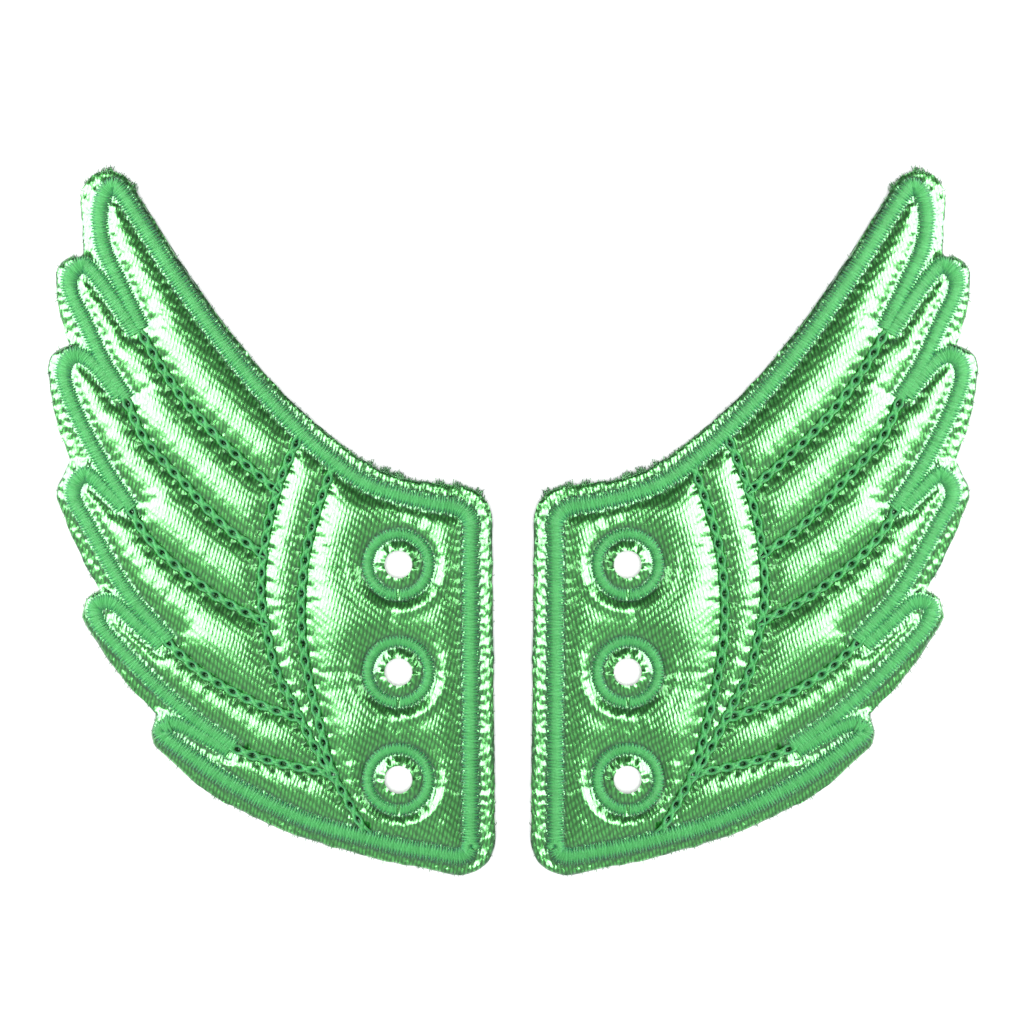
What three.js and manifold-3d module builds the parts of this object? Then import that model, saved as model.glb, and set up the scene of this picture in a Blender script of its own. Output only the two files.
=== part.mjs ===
// A pair of lace-in shoe wings: two mirrored, padded and embroidered wings. Each has an eyelet tab, which a
// shoelace holds down, and six feathers, which fold up or down from the tab.
//
// Millimetres. +Z is up out of the faces, and z = 0 is the underside that lies on a table or against a shoe.
// +Y runs from the lowest corner of the tabs to the tips of the top feathers. The origin lies midway between
// the two wings, at the centre of the pair's outline.
//
// Each wing is a sandwich of four layers (back, stiffener, padding, face) with embroidery on the face. In
// cloth the layers run through the fold. Here the tab and the feathers are rigid, so the layers end on either
// side of the fold and one strip stands for all of them where they bend.
import * as THREE from "three";
import { mergeVertices } from "three/addons/utils/BufferGeometryUtils.js";
import Module from "manifold-3d";

const wasm = await Module();
wasm.setup();

// ---------------------------------------------------------------- driving dimensions
// The layers from the underside up. Thicknesses are multiples of 1/2 mm, so that the layers meet exactly.
const LAYERS = [
  { name: "back", thickness: 0.5, colour: 0x3f9c4a, roughness: 0.55, metalness: 0.3 },
  { name: "stiffener", thickness: 0.5, colour: 0xe6ece4, roughness: 0.95, metalness: 0 },
  { name: "padding", thickness: 1.5, colour: 0xf2f2ea, roughness: 1, metalness: 0 },
  { name: "face", thickness: 0.5, colour: 0x52c463, roughness: 0.3, metalness: 0.8 },
];
const FACE_TOP = LAYERS.reduce((sum, layer) => sum + layer.thickness, 0);
const THREAD_HEIGHT = 0.5; // how far the embroidery stands on the face

const SATIN_WIDTH = 2.8; // satin columns round the outline and the feather tips
const SEAM_WIDTH = 1.2; // the dotted quilting seams
const STITCH_GAP = 0.3; // left between two runs of embroidery that meet

const LACE_HOLE_RADIUS = 2.5;
const LACE_HOLE_PITCH = 16.8;
const LACE_HOLES_X = -17.9;
const TOP_LACE_HOLE_Y = -6.5;
const EYELET_RING = { inner: 3.8, outer: 5.8, shoulder: 0.4 };
const LACE_HOLE_NAMES = ["upper", "middle", "lower"];

// The fold runs straight up the wing, beside the lace holes. The fold strip is the part that bends.
const FOLD_X = -28.5;
const FOLD_STRIP_WIDTH = 4;

// The left wing's cut edge. Each feather has a round nose and then runs down to the notch above the next one.
// Angles are in degrees, anticlockwise from +X. Bow is how far the lower edge swells from a straight line.
const FEATHERS = [
  { nose: [-63.4, 50.8], radius: 4.3, from: 34, to: 182, notch: [-67.2, 42.4], bow: 0 },
  { nose: [-68.4, 38.6], radius: 3.1, from: 78, to: 190, notch: [-69.5, 28.3], bow: 0.5 },
  { nose: [-69.1, 24.0], radius: 3.7, from: 88, to: 196, notch: [-69.2, 9.8], bow: 0.6 },
  { nose: [-67.7, 4.7], radius: 3.7, from: 140, to: 200, notch: [-64.7, -10.5], bow: 0.4 },
  { nose: [-63.4, -14.2], radius: 3.9, from: 125, to: 215, notch: [-55.9, -29.8], bow: 0.7 },
  { nose: [-52.7, -32.8], radius: 3.8, from: 150, to: 222 },
];
const TRAILING_EDGE = [[-48.8, -41.4], [-42.6, -45.0], [-34.0, -48.9], [-21.4, -52.6]];
const LOWER_CORNER = { centre: [-8.4, -49.5], radius: 5.6, from: -97, to: 0 };
const UPPER_CORNER = { centre: [-8.9, 0.3], radius: 5.6, from: 0, to: 88 };
const TAB_EDGE_X = -3.3; // the upright edge that lies beside the laces
const LEADING_EDGE = [
  [-14.5, 6.5], [-21, 8.4], [-27.2, 12.5], [-34.9, 19.2], [-42.2, 27.3], [-48.6, 35.8], [-54.3, 44.3],
];

// Centre lines of the embroidery on the left wing. The outline column is sewn in three runs that meet at the
// fold: along the leading edge, round the tab, and along the trailing edge.
const LEADING_SATIN = [
  [-62.7, 52.9], [-58.4, 47.4], [-53.2, 39.2], [-46.9, 30.2], [-40.2, 21.7], [-32.6, 13.6], [-28.5, 10.0],
];
const TAB_SATIN = [
  [-28.5, 10.0], [-26.4, 8.3], [-22.4, 5.9], [-17.7, 4.3], [-12.2, 3.0], [-8.6, 2.4], [-6.6, 0.4],
  [-6.6, -4], [-6.6, -26], [-6.6, -48], [-6.6, -50.6],
  [-8.2, -52.1], [-13.1, -51.4], [-18.4, -50.4], [-28.5, -47.8],
];
const TRAILING_SATIN = [
  [-28.5, -47.8], [-33.0, -46.2], [-40.0, -42.9], [-45.7, -39.7], [-50.4, -36.4], [-54.6, -33.4],
];

// Each feather's column: up the side it shares with the feather above, over the tip and down its own edge,
// ending part of the way in along the seam to the next feather.
const FEATHER_SATINS = [
  [[-63.3, 52.9], [-64.4, 50.6], [-64.6, 46.6], [-64.0, 42.9], [-62.2, 39.0], [-58.3, 31.0]],
  [
    [-58.9, 29.6], [-61.8, 34.0], [-64.6, 37.9], [-67.0, 40.3], [-69.2, 38.7],
    [-69.0, 35.8], [-66.5, 30.6], [-63.8, 24.8], [-60.8, 20.2],
  ],
  [
    [-61.6, 19.8], [-64.4, 23.6], [-67.2, 26.1], [-69.3, 25.9], [-70.3, 23.6],
    [-69.5, 20.2], [-67.0, 14.5], [-63.2, 7.6], [-59.9, 2.8],
  ],
  [
    [-61.0, 2.4], [-63.6, 5.0], [-66.6, 7.6], [-68.6, 5.9], [-68.6, 3.4],
    [-66.8, 0.4], [-62.0, -8.2], [-58.8, -12.8], [-54.0, -18.0],
  ],
  [
    [-55.0, -19.1], [-59.0, -15.6], [-62.6, -12.4], [-65.2, -12.9], [-65.0, -15.4],
    [-62.6, -18.4], [-56.2, -25.0], [-49.5, -30.8], [-43.9, -34.8],
  ],
  [[-44.4, -35.6], [-48.4, -33.4], [-52.0, -31.6], [-55.4, -31.4]],
];

// Quilting seams: five veins that carry on from the feather columns, and the two seams of the shoulder band.
const VEIN_SEAMS = [
  [[-57.6, 28.8], [-54.0, 22.9], [-49.0, 16.4], [-43.1, 10.5], [-37.9, 5.8]],
  [[-60.2, 18.6], [-57.3, 12.8], [-51.5, 6.4], [-45.6, 0], [-39.9, -4.3]],
  [[-59.6, 1.8], [-57.3, -2.0], [-53.2, -6.1], [-46.2, -11.5], [-39.6, -15.1]],
  [[-53.8, -18.8], [-50.4, -22.0], [-46.0, -25.1], [-40.7, -27.9], [-34.7, -30.2]],
  [[-43.6, -35.0], [-39.5, -36.7], [-33.9, -38.1], [-28.9, -39.2]],
];
const OUTER_BAND_SEAM = [
  [-33.6, 11.8], [-36.2, 7.0], [-38.3, -0.5], [-39.3, -8.3], [-39.1, -13.7], [-38.1, -18.7], [-36.8, -23.7],
  [-34.3, -28.4], [-32.0, -33.1], [-29.5, -37.5], [-26.7, -41.8], [-23.9, -46.8], [-22.9, -48.4],
];
const INNER_BAND_SEAM = [
  [-28.1, 9.0], [-30.0, 3.8], [-31.7, -1.7], [-32.7, -7.5], [-33.1, -13.4],
  [-32.8, -19.2], [-31.8, -25.0], [-30.4, -30.9], [-29.0, -36.5], [-28.0, -39.3],
];

const EDGE_DIVISIONS = 3; // outline points along each curved stretch
const HOLE_DIVISIONS = 24;
const COLUMN_STEP = 2.2; // spacing of the points along an embroidered run
const SEAM_STEP = 3;
const TURN_SHARE = 0.8; // how much of a tight turn's radius its inner edge may take
const BEYOND = 256; // larger than the whole pair, for the blocks that cut it

// ---------------------------------------------------------------- solids
const points = (list) => list.map(([x, y]) => new THREE.Vector2(x, y));

// A closed geometry as a manifold-3d solid.
function solidOf(geometry) {
  const bare = geometry.clone();
  bare.deleteAttribute("normal");
  bare.deleteAttribute("uv");
  const merged = mergeVertices(bare, 1e-4);
  return new wasm.Manifold(
    new wasm.Mesh({
      numProp: 3,
      vertProperties: merged.attributes.position.array,
      triVerts: new Uint32Array(merged.index.array),
    }),
  );
}

function geometryOf(solid) {
  const mesh = solid.getMesh();
  const geometry = new THREE.BufferGeometry();
  geometry.setAttribute("position", new THREE.BufferAttribute(new Float32Array(mesh.vertProperties), 3));
  geometry.setIndex(new THREE.BufferAttribute(new Uint32Array(mesh.triVerts), 1));
  const flat = geometry.toNonIndexed();
  flat.computeVertexNormals();
  return flat;
}

// A shape lying flat, from z = bottom up through its thickness.
function plate(shape, bottom, thickness) {
  const settings = { depth: thickness, bevelEnabled: false, curveSegments: EDGE_DIVISIONS };
  return new THREE.ExtrudeGeometry(shape, settings).translate(0, 0, bottom);
}

const biggest = (solid) => solid.decompose().sort((a, b) => b.volume() - a.volume())[0];

// ---------------------------------------------------------------- the fold
// An upright block of a given width, centred on x, that takes in everything there.
function slab(x, width) {
  return solidOf(new THREE.BoxGeometry(width, BEYOND, BEYOND).translate(x, 0, 0));
}
const fromFold = (FOLD_STRIP_WIDTH + BEYOND) / 2;
const tabSide = slab(FOLD_X + fromFold, BEYOND);
const feathersSide = slab(FOLD_X - fromFold, BEYOND);
const foldStrip = slab(FOLD_X, FOLD_STRIP_WIDTH);

// ---------------------------------------------------------------- the cut outline
function wingOutline() {
  const degrees = THREE.MathUtils.degToRad;
  const outline = new THREE.Shape();
  for (const { nose, radius, from, to, notch, bow } of FEATHERS) {
    outline.absarc(nose[0], nose[1], radius, degrees(from), degrees(to), false);
    if (notch) {
      const end = new THREE.Vector2(...notch);
      const start = outline.getPoint(1);
      const outwards = end.clone().sub(start).normalize().rotateAround(new THREE.Vector2(), -Math.PI / 2);
      const control = start.clone().add(end).multiplyScalar(0.5).addScaledVector(outwards, 2 * bow);
      outline.quadraticCurveTo(control.x, control.y, end.x, end.y);
    }
  }
  outline.splineThru(points(TRAILING_EDGE));
  for (const { centre, radius, from, to } of [LOWER_CORNER, UPPER_CORNER]) {
    outline.absarc(centre[0], centre[1], radius, degrees(from), degrees(to), false);
  }
  outline.splineThru(points(LEADING_EDGE));
  return outline;
}

const laceHoleCentres = LACE_HOLE_NAMES.map(
  (_, i) => new THREE.Vector2(LACE_HOLES_X, TOP_LACE_HOLE_Y - i * LACE_HOLE_PITCH),
);

// The holes' cutters run well past both faces of the wing.
const laceHoles = laceHoleCentres.map(({ x, y }) => {
  const hole = new THREE.CylinderGeometry(LACE_HOLE_RADIUS, LACE_HOLE_RADIUS, 3 * FACE_TOP, HOLE_DIVISIONS);
  return solidOf(hole.rotateX(Math.PI / 2).translate(x, y, 0));
});

// ---------------------------------------------------------------- embroidery
// The strip that a run of stitches covers: a band of a given width along a smooth line, with square ends.
// In a tight turn the inner edge stays short of the centre of the turn, so the strip never folds over itself.
function strip(line, width, step) {
  const curve = new THREE.SplineCurve(points(line));
  const count = Math.max(3, Math.round(curve.getLength() / step));
  const edges = { left: [], right: [] };
  for (let i = 0; i <= count; i += 1) {
    const at = curve.getPointAt(i / count);
    const along = curve.getTangentAt(i / count);
    const before = curve.getTangentAt(Math.max(i - 0.5, 0) / count);
    const after = curve.getTangentAt(Math.min(i + 0.5, count) / count);
    const turn = before.cross(after) / (curve.getLength() / count); // positive to the left
    const leftwards = new THREE.Vector2(-along.y, along.x);
    const reach = (bend) => Math.min(width / 2, TURN_SHARE / Math.max(bend, 1e-6));
    edges.left.push(at.clone().addScaledVector(leftwards, reach(turn)));
    edges.right.push(at.clone().addScaledVector(leftwards, -reach(-turn)));
  }
  return solidOf(plate(new THREE.Shape([...edges.right, ...edges.left.reverse()]), FACE_TOP, THREAD_HEIGHT));
}

// Embroidery is laid in order: each run stops short of the runs that were laid before it.
function sewer() {
  const kept = [];
  return function sew(line, width, step) {
    let run = strip(line, width, step);
    for (const earlier of kept) {
      run = run.subtract(earlier);
    }
    kept.push(strip(line, width + 2 * STITCH_GAP, step));
    return run;
  };
}

function ring(centre) {
  const { inner, outer, shoulder } = EYELET_RING;
  const section = [
    [inner, 0], [outer, 0], [outer - shoulder, THREAD_HEIGHT], [inner + shoulder, THREAD_HEIGHT], [inner, 0],
  ];
  const geometry = new THREE.LatheGeometry(points(section), HOLE_DIVISIONS);
  return solidOf(geometry.rotateX(Math.PI / 2).translate(centre.x, centre.y, FACE_TOP));
}

// ---------------------------------------------------------------- one wing
const threadMaterial = new THREE.MeshStandardMaterial({ color: 0x4ccb66, roughness: 0.5, metalness: 0 });
const foldMaterial = new THREE.MeshStandardMaterial({ color: 0x52c463, roughness: 0.4, metalness: 0.6 });

function makeWing(hand) {
  const wing = new THREE.Group();
  function add(name, solid, material) {
    const mesh = new THREE.Mesh(geometryOf(biggest(solid)), material);
    mesh.name = `${hand}_${name}`;
    wing.add(mesh);
  }

  const outline = wingOutline();
  const pierced = (solid) => laceHoles.reduce((rest, hole) => rest.subtract(hole), solid);
  let bottom = 0;
  for (const { name, thickness, colour, roughness, metalness } of LAYERS) {
    const material = new THREE.MeshStandardMaterial({ color: colour, roughness, metalness });
    const layer = pierced(solidOf(plate(outline, bottom, thickness)));
    add(`tab_${name}`, layer.intersect(tabSide), material);
    add(`feathers_${name}`, layer.intersect(feathersSide), material);
    bottom += thickness;
  }
  add("fold_strip", solidOf(plate(outline, 0, FACE_TOP)).intersect(foldStrip), foldMaterial);

  const sew = sewer();
  function addRun(name, run, side) {
    add(name, run.intersect(side), threadMaterial);
  }
  const satin = (line) => sew(line, SATIN_WIDTH, COLUMN_STEP);
  const seam = (line) => sew(line, SEAM_WIDTH, SEAM_STEP);
  addRun("leading_edge_satin", satin(LEADING_SATIN), feathersSide);
  addRun("tab_border_satin", satin(TAB_SATIN), tabSide);
  addRun("trailing_edge_satin", satin(TRAILING_SATIN), feathersSide);
  FEATHER_SATINS.forEach((line, i) => addRun(`feather_${i + 1}_satin`, satin(line), feathersSide));
  const outerBand = seam(OUTER_BAND_SEAM);
  addRun("band_seam_outer", outerBand, feathersSide);
  addRun("band_seam_outer_foot", outerBand, tabSide);
  addRun("band_seam_inner", seam(INNER_BAND_SEAM), feathersSide);
  VEIN_SEAMS.forEach((line, i) => addRun(`vein_seam_${i + 1}`, seam(line), feathersSide));
  laceHoleCentres.forEach((centre, i) => addRun(`eyelet_ring_${LACE_HOLE_NAMES[i]}`, ring(centre), tabSide));
  return wing;
}

// ---------------------------------------------------------------- the pair
const pair = new THREE.Group();
const leftWing = makeWing("left");
const rightWing = makeWing("right");
rightWing.scale.x = -1;
pair.add(leftWing, rightWing);

export default pair;
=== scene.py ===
# %% [markdown]
# # A pair of lace-in shoe wings
# Each wing is a sandwich of cloth: a lining, a stiffener, soft wadding and a face of metallic foil cloth.
# It is embroidered through all the layers, and the stitches pull the face down, so it stands up in
# pillows between them. A shoelace holds the tab with three lace holes, and the feathers fold from it. The
# lesson models the left wing in millimetres and turns every piece over in a mirror for the right one.

# %% Load the frame
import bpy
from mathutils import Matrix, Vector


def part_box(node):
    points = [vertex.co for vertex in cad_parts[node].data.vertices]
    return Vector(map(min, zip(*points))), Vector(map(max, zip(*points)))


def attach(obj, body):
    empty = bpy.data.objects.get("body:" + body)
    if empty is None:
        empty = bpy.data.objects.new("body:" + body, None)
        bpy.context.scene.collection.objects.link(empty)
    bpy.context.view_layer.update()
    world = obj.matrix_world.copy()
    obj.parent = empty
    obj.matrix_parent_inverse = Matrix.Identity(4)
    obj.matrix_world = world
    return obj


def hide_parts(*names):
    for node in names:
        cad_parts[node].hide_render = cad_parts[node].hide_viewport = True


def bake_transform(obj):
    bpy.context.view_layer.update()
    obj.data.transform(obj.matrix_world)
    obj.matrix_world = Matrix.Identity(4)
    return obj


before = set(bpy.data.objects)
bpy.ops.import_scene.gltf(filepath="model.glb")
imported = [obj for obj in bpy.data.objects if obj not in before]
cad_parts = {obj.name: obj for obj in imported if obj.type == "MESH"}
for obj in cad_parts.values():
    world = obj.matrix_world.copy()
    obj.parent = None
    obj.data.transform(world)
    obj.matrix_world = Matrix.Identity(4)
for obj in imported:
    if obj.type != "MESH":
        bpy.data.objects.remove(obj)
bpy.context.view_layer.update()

# %% Tools of the lesson
import math
from types import SimpleNamespace

import bpy
import numpy as np
from mathutils import Vector
from mathutils.bvhtree import BVHTree
from mathutils.geometry import delaunay_2d_cdt
from mathutils.kdtree import KDTree

MM = 0.001
chance = np.random.default_rng(7)


def deselect_all():
    for thing in bpy.context.selected_objects:
        thing.select_set(False)


def select_only(thing):
    deselect_all()
    thing.select_set(True)
    bpy.context.view_layer.objects.active = thing


deselect_all()

# %% [markdown]
# ## Camera and studio
# The pair lies on a pale table and is seen from straight above through a long lens, so its two wings look
# flat and equal. Foil shows what stands around it more than its own colour. Two soft panels, low on the
# outer sides of the wings, give the bright slivers on the slopes that face them, and the dark between
# them gives depth. A small panel on the inner side lifts the other slopes. Each wing and the table have
# panels of their own, so that the foil can be lit from low down while the table stays white.

# %% Camera, table and lights
VIEW_PLACE = (-0.16, 1.7, 446.6)  # mm

bpy.ops.object.camera_add(location=[v * MM for v in VIEW_PLACE])
camera = bpy.context.object
camera.data.lens = 100
camera.data.sensor_width = 36
camera.data.clip_start = 0.01
bpy.context.scene.camera = camera
print("camera", tuple(round(v, 4) for v in camera.location))


def add_panel(name, place, aim, size, power, lit):
    """A soft box, width by height, that stands at a place, faces its aim and lights one collection."""
    bpy.ops.object.light_add(type="AREA", location=place)
    panel = bpy.context.object
    panel.name = name
    panel.data.shape = "RECTANGLE"
    panel.data.size, panel.data.size_y = size
    panel.data.energy = power
    panel.rotation_euler = (Vector(aim) - Vector(place)).to_track_quat("-Z", "Y").to_euler()
    panel.light_linking.receiver_collection = lit


WINGS = {}
for side, sign in (("left", -1), ("right", 1)):
    wing = bpy.data.collections.new(f"{side}_wing")
    WINGS[side] = wing
    middle = (sign * 0.035, 0, 0)
    add_panel(f"{side}_panel", (sign * 0.30, 0.09, 0.24), middle, (0.20, 0.78), 4.0, wing)
    add_panel(f"{side}_inner_panel", (-sign * 0.27, 0.08, 0.13), middle, (0.06, 0.50), 0.5, wing)

world = bpy.data.worlds.new("studio")
bpy.context.scene.world = world
world.use_nodes = True
sky = world.node_tree
direction = sky.nodes.new("ShaderNodeTexCoord")
parts = sky.nodes.new("ShaderNodeSeparateXYZ")
darker = sky.nodes.new("ShaderNodeMapRange")
for name, value in {"From Min": -0.7, "From Max": 0.6, "To Min": 0.72, "To Max": 0.12}.items():
    darker.inputs[name].default_value = value
sky.nodes["Background"].inputs["Color"].default_value = (0.95, 0.98, 1.0, 1)
sky.links.new(direction.outputs["Generated"], parts.inputs["Vector"])
sky.links.new(parts.outputs["Y"], darker.inputs["Value"])
sky.links.new(darker.outputs["Result"], sky.nodes["Background"].inputs["Strength"])
bpy.context.scene.view_settings.view_transform = "Standard"

deselect_all()
bpy.ops.mesh.primitive_plane_add(size=3, location=(0, 0, -0.0002))
table = bpy.context.object
table.name = "table"
table_set = bpy.data.collections.new("table_set")
table_set.objects.link(table)
add_panel("table_panel", (0, 0, 1.2), (0, 0, 0), (0.5, 0.5), 16.0, table_set)
select_only(table)
bpy.ops.object.transform_apply(location=True, rotation=True, scale=True)

# %% [markdown]
# ## Where the stitches run
# Embroidery follows a drawing: lines that the machine's needle traces. A satin line is covered from side
# to side by a thick column of thread, and a seam line carries single stitches from hole to hole. The
# points are where the drawing turns, in millimetres on the left wing, and a smooth curve runs through
# them.

# %% The drawing
SATIN_WIDTH = 2.8
SATIN_LINES = {
    "leading_edge_satin": [
        (-64.2, 50.4), (-63.6, 52.0), (-62.3, 52.6), (-61.0, 51.4), (-58.4, 47.4), (-53.2, 39.2),
        (-46.9, 30.2), (-40.2, 21.7), (-32.6, 13.6), (-28.5, 10.0),
    ],
    "tab_border_satin": [
        (-28.5, 10.0), (-26.4, 8.3), (-22.4, 5.9), (-17.7, 4.3), (-12.2, 3.0), (-8.6, 2.4), (-6.6, 0.4),
        (-6.6, -4), (-6.6, -26), (-6.6, -48), (-6.6, -50.6), (-8.2, -52.1), (-13.1, -51.4),
        (-18.4, -50.4), (-28.5, -47.8),
    ],
    "trailing_edge_satin": [
        (-28.5, -47.8), (-33.0, -46.2), (-40.0, -42.9), (-45.7, -39.7), (-50.4, -36.4), (-54.2, -33.6),
        (-54.9, -32.3), (-53.6, -31.5),
    ],
    "feather_1_satin": [
        (-64.2, 50.6), (-64.6, 48.8), (-64.6, 46.6), (-64.0, 42.9), (-62.2, 39.0), (-58.0, 30.4),
    ],
    "feather_2_satin": [
        (-58.9, 29.6), (-61.8, 34.0), (-64.6, 37.9), (-67.0, 40.3), (-69.2, 38.7), (-69.0, 35.8),
        (-66.5, 30.6), (-63.8, 24.8), (-60.4, 19.5),
    ],
    "feather_3_satin": [
        (-61.6, 19.8), (-64.4, 23.6), (-67.2, 26.1), (-69.3, 25.9), (-70.3, 23.6), (-69.5, 20.2),
        (-67.0, 14.5), (-63.2, 7.6), (-59.6, 2.2),
    ],
    "feather_4_satin": [
        (-61.0, 2.4), (-63.6, 5.0), (-66.6, 7.6), (-68.6, 5.9), (-68.6, 3.4), (-66.8, 0.4),
        (-62.0, -8.2), (-58.8, -12.8), (-53.7, -18.3),
    ],
    "feather_5_satin": [
        (-55.0, -19.1), (-59.0, -15.6), (-62.6, -12.4), (-65.2, -12.9), (-65.0, -15.4), (-62.6, -18.4),
        (-56.2, -25.0), (-49.5, -30.8), (-43.5, -35.0),
    ],
    "feather_6_satin": [(-44.4, -35.6), (-48.4, -33.4), (-52.0, -31.6), (-54.4, -31.2)],
}
SEAM_LINES = {
    "vein_seam_1": [(-57.6, 28.8), (-54.0, 22.9), (-49.0, 16.4), (-43.1, 10.5), (-37.6, 5.6)],
    "vein_seam_2": [(-60.2, 18.6), (-57.3, 12.8), (-51.5, 6.4), (-45.6, 0), (-39.5, -4.6)],
    "vein_seam_3": [(-59.6, 1.8), (-57.3, -2.0), (-53.2, -6.1), (-46.2, -11.5), (-39.3, -15.2)],
    "vein_seam_4": [(-53.8, -18.8), (-50.4, -22.0), (-46.0, -25.1), (-40.7, -27.9), (-34.5, -30.2)],
    "vein_seam_5": [(-43.0, -35.4), (-39.5, -36.7), (-33.9, -38.1), (-28.6, -39.2)],
    "band_seam_outer": [
        (-33.9, 12.4), (-36.2, 7.0), (-38.3, -0.5), (-39.3, -8.3), (-39.1, -13.7), (-38.1, -18.7),
        (-36.8, -23.7), (-34.3, -28.4), (-32.0, -33.1), (-29.5, -37.5), (-26.7, -41.8), (-23.9, -46.8),
        (-22.9, -48.6),
    ],
    "band_seam_inner": [
        (-28.0, 9.2), (-30.0, 3.8), (-31.7, -1.7), (-32.7, -7.5), (-33.1, -13.4), (-32.8, -19.2),
        (-31.8, -25.0), (-30.4, -30.9), (-29.0, -36.5), (-28.0, -39.3),
    ],
}


CURVE_CUTS = 24  # short lengths between two points of the drawing


def unit(ways):
    return ways / np.linalg.norm(ways, axis=1)[:, None]


def left_of(ways):
    return np.stack([-ways[:, 1], ways[:, 0]], axis=1)


def smooth_line(points, step):
    """Points every step along a smooth curve through the given ones, the way along it, and the distance."""
    given = np.array(points, float)
    padded = np.vstack([2 * given[0] - given[1], given, 2 * given[-1] - given[-2]])
    t = np.linspace(0, 1, CURVE_CUTS, endpoint=False)[:, None]
    parts = []
    for a, b, c, d in zip(padded, padded[1:], padded[2:], padded[3:]):
        square, cube = 2 * a - 5 * b + 4 * c - d, 3 * b - a - 3 * c + d
        parts.append(0.5 * (2 * b + (c - a) * t + square * t**2 + cube * t**3))
    fine = np.vstack(parts + [given[-1:]])
    travelled = np.concatenate([[0], np.cumsum(np.linalg.norm(np.diff(fine, axis=0), axis=1))])
    at = np.linspace(0, travelled[-1], max(2, round(travelled[-1] / step) + 1))
    line = np.stack([np.interp(at, travelled, fine[:, k]) for k in (0, 1)], axis=1)
    return line, unit(np.gradient(line, axis=0)), at


for kind, lines in (("satin", SATIN_LINES), ("seams", SEAM_LINES)):
    print(kind, round(sum(smooth_line(points, 0.5)[2][-1] for points in lines.values())), "mm")

# %% [markdown]
# ## The cut edge
# All four layers are cut to one shape, so their outline is read once, from the undersides of the frame's
# three lining plates. Cloth that is cut by hand is never quite smooth, so each layer later moves it a
# little.

# %% Read the outline and the lace holes
UNDERSIDES = ("left_tab_back", "left_fold_strip", "left_feathers_back")
HOLE_NAMES = ("upper", "middle", "lower")
NOTCH_TURN = math.radians(45)
EDGE_STEP = 0.4


def rim_edges(node):
    """The edges round a plate's underside, as pairs of points in hundredths of a millimetre."""
    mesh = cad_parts[node].data
    mesh.calc_loop_triangles()
    spots = np.array([v.co for v in mesh.vertices]) / MM
    counts = {}
    for triangle in mesh.loop_triangles:
        corners = [tuple(np.round(spots[i, :2] * 100).astype(int)) for i in triangle.vertices]
        if max(spots[i, 2] for i in triangle.vertices) > 0.01:
            continue
        for edge in zip(corners, corners[1:] + corners[:1]):
            counts[frozenset(edge)] = counts.get(frozenset(edge), 0) + 1
    return [tuple(edge) for edge, count in counts.items() if count == 1 and len(edge) == 2]


def chained(edges):
    """Closed loops of points from loose edges."""
    neighbours = {}
    for a, b in edges:
        neighbours.setdefault(a, []).append(b)
        neighbours.setdefault(b, []).append(a)
    loops = []
    while neighbours:
        here = next(iter(neighbours))
        loop = []
        while here is not None:
            loop.append(here)
            there = [p for p in neighbours.pop(here) if p in neighbours]
            here = there[0] if there else None
        loops.append(np.array(loop) / 100)
    return loops


def turns_at(loop):
    before = loop - np.roll(loop, 1, axis=0)
    after = np.roll(loop, -1, axis=0) - loop
    cross = before[:, 0] * after[:, 1] - before[:, 1] * after[:, 0]
    return np.arctan2(cross, (before * after).sum(axis=1))


def divided(line, longest=4.0):
    """The line with points added on its long stretches, past whose ends a smooth curve would swing."""
    parts = []
    for a, b in zip(line, line[1:]):
        count = max(1, math.ceil(np.linalg.norm(b - a) / longest))
        parts.append(a + (b - a) * (np.arange(count) / count)[:, None])
    return np.vstack(parts + [line[-1:]])


fold_planes = [round(corner[0] / MM * 100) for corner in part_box("left_fold_strip")]
rim = [
    (a, b) for node in UNDERSIDES for a, b in rim_edges(node)
    if not any(abs(a[0] - x) <= 1 and abs(b[0] - x) <= 1 for x in fold_planes)
]
cut_loop = max(chained(rim), key=len)
turns = turns_at(cut_loop)
if turns.sum() < 0:
    cut_loop = cut_loop[::-1]
    turns = turns_at(cut_loop)
notches = [i for i in range(len(cut_loop)) if turns[i] < -NOTCH_TURN]
cut_loop = np.roll(cut_loop, -notches[0], axis=0)
notches = [i - notches[0] for i in notches] + [len(cut_loop)]
closed_loop = np.vstack([cut_loop, cut_loop[:1]])
OUTLINE = np.vstack(
    [smooth_line(divided(closed_loop[a : b + 1]), EDGE_STEP)[0][:-1] for a, b in zip(notches, notches[1:])]
)

HOLES = []
for name in HOLE_NAMES:
    low, high = (np.array(corner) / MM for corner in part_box(f"left_eyelet_ring_{name}"))
    HOLES.append(((low + high) / 2)[:2])
RING_OUTER = (high[0] - low[0]) / 2
RING_INNER = 3.8
RING_MIDDLE = (RING_INNER + RING_OUTER) / 2
RING_HALF = (RING_OUTER - RING_INNER) / 2
HOLE_RADIUS = 2.5
HOLE_POINTS = 40
print(f"outline of {len(OUTLINE)} points and {len(notches) - 1} notches")
print("lace holes at", np.round(HOLES, 1).tolist())

# %% [markdown]
# ## A fine net of triangles for cloth
# Cloth needs an even net to fold in, and its net has to follow the cut edge, the holes and the stitch
# lines. A Delaunay triangulation joins any set of points with the roundest triangles it can, so the
# points are chosen and it does the joining.

# %% Net the wing


def nearest(places, targets):
    """How far each place is from the nearest target, and which target that is."""
    tree = KDTree(len(targets))
    for i, target in enumerate(targets):
        tree.insert((target[0], target[1], 0), i)
    tree.balance()
    found = [tree.find((p[0], p[1], 0)) for p in places]
    return np.array([f[2] for f in found]), np.array([f[1] for f in found])


def is_inside(places, loop):
    inside = np.zeros(len(places), bool)
    for a, b in zip(loop, np.roll(loop, -1, axis=0)):
        crosses = (a[1] > places[:, 1]) != (b[1] > places[:, 1])
        rise = b[1] - a[1] if b[1] != a[1] else 1e-9
        inside ^= crosses & (places[:, 0] < (b[0] - a[0]) * (places[:, 1] - a[1]) / rise + a[0])
    return inside


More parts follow.
